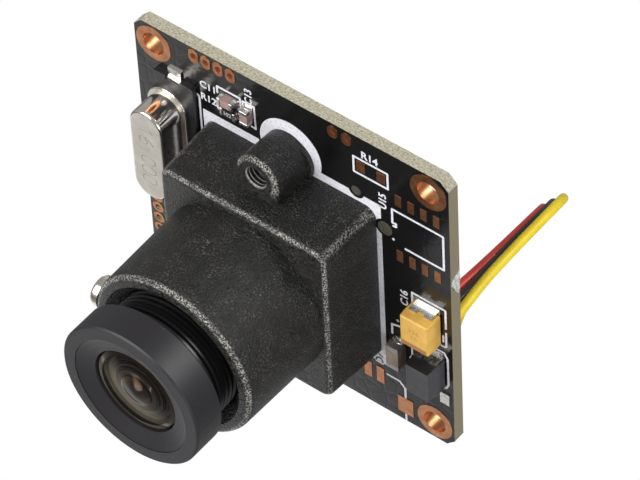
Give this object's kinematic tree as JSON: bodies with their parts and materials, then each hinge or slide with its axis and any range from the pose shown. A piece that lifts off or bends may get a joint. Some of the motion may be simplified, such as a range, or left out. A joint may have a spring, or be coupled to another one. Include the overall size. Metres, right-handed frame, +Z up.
{
  "type": "board camera module",
  "caption": "Board camera: upright square circuit board, cast lens holder, screw-in lens that turns and travels to focus, side lock screw, plug and flying wires.",
  "frame": {"origin": "centre of the four mounting holes on the circuit board's front face", "axes": "-Y along the lens axis out of the front, +Y backward along the mounting screws, +X to the right seen from the front, +Z up"},
  "size_m": [0.0406, 0.0649, 0.0848],
  "materials": {
    "solder_mask": "glossy black solder mask over glass-fibre laminate",
    "bare_copper": "bare copper, slightly oxidised",
    "bare_laminate": "pale bare laminate",
    "legend_ink": "matte white printed ink",
    "cast_black": "die casting in fine-textured black paint, worn bright at the edges",
    "steel_screw": "plain steel",
    "filter_glass": "coated flat glass",
    "package_black": "moulded epoxy",
    "sensor_silicon": "polished silicon",
    "gasket_rubber": "soft black rubber",
    "lens_black": "matte black anodised",
    "lens_glass": "coated optical glass",
    "lock_screw_steel": "nickel-plated steel",
    "crystal_base_plastic": "black moulded plastic",
    "nickel_can": "warm nickel-plated drawn can",
    "tinned": "tinned solder finish",
    "ceramic_pink": "pinkish taupe ceramic",
    "ceramic_brown": "brown ceramic",
    "tantalum_yellow": "yellow-orange moulded epoxy",
    "resistor_black": "black glazed film on ceramic",
    "connector_white": "natural white nylon",
    "wire_red_pvc": "soft red insulation",
    "wire_black_pvc": "soft black insulation",
    "wire_yellow_pvc": "soft yellow insulation"
  },
  "bodies": {
    "camera_board": {"chip_resistor_body": "resistor_black", "chip_resistor_ends": "tinned", "circuit_board": "solder_mask", "connector_header": "connector_white", "connector_pins": "tinned", "copper_pads": "bare_copper", "crystal_base": "crystal_base_plastic", "crystal_can": "nickel_can", "crystal_flange": "nickel_can", "crystal_leads": "tinned", "diode_body": "package_black", "diode_terminals": "tinned", "footprint_legend": "legend_ink", "front_legend": "legend_ink", "header_pads": "bare_copper", "holder_screws": "steel_screw", "image_processor": "package_black", "image_processor_leads": "tinned", "ir_cut_filter": "filter_glass", "laminate_spots": "bare_laminate", "large_capacitor_body": "ceramic_brown", "large_capacitor_ends": "tinned", "lens_holder": "cast_black", "mounting_eyelets": "bare_copper", "plug_contacts": "tinned", "plug_housing": "connector_white", "rear_capacitor_bodies": "ceramic_pink", "rear_capacitor_ends": "tinned", "regulator_body": "package_black", "regulator_leads": "tinned", "sensor_cover_glass": "filter_glass", "sensor_die": "sensor_silicon", "sensor_gasket": "gasket_rubber", "sensor_package": "package_black", "small_capacitor_bodies": "ceramic_pink", "small_capacitor_ends": "tinned", "tantalum_body": "tantalum_yellow", "tantalum_terminals": "tinned", "via_pads": "bare_copper", "wire_black": "wire_black_pvc", "wire_red": "wire_red_pvc", "wire_tips": "tinned", "wire_yellow": "wire_yellow_pvc"},
    "lens_glass": {"front_element": "lens_glass", "second_element": "lens_glass", "rear_doublet_front": "lens_glass", "rear_doublet_back": "lens_glass"},
    "lens_barrel": {"lens_barrel": "lens_black", "front_retaining_ring": "lens_black", "stepped_baffle": "lens_black", "aperture_stop": "lens_black", "rear_retaining_ring": "lens_black"},
    "lock_screw_shank": {"lock_screw_shank": "lock_screw_steel"},
    "lock_screw_head": {"lock_screw_head": "lock_screw_steel"}
  },
  "joints": [
    {"name": "focus_travel", "type": "slide", "parent": "camera_board", "child": "lens_glass", "axis": [0, -1, 0], "range_m": [-0.001, 0.001]},
    {"name": "focus_turn", "type": "hinge", "parent": "lens_glass", "child": "lens_barrel", "pos_m": [-0.0003, -0.018, -0.0007], "axis": [0, -1, 0], "range_deg": [-720, 720]},
    {"name": "lock_screw_travel", "type": "slide", "parent": "camera_board", "child": "lock_screw_shank", "axis": [-1, 0, 0], "range_m": [0, 0.0008]},
    {"name": "lock_screw_turn", "type": "hinge", "parent": "lock_screw_shank", "child": "lock_screw_head", "pos_m": [-0.0097, -0.0137, -0.0007], "axis": [-1, 0, 0], "range_deg": [0, 720]}
  ],
  "couplings": [
    {"joint": "focus_travel", "follows": "focus_turn", "m_per_rad": 0.000079577},
    {"joint": "lock_screw_turn", "follows": "lock_screw_travel", "rad_per_m": 15708}
  ]
}
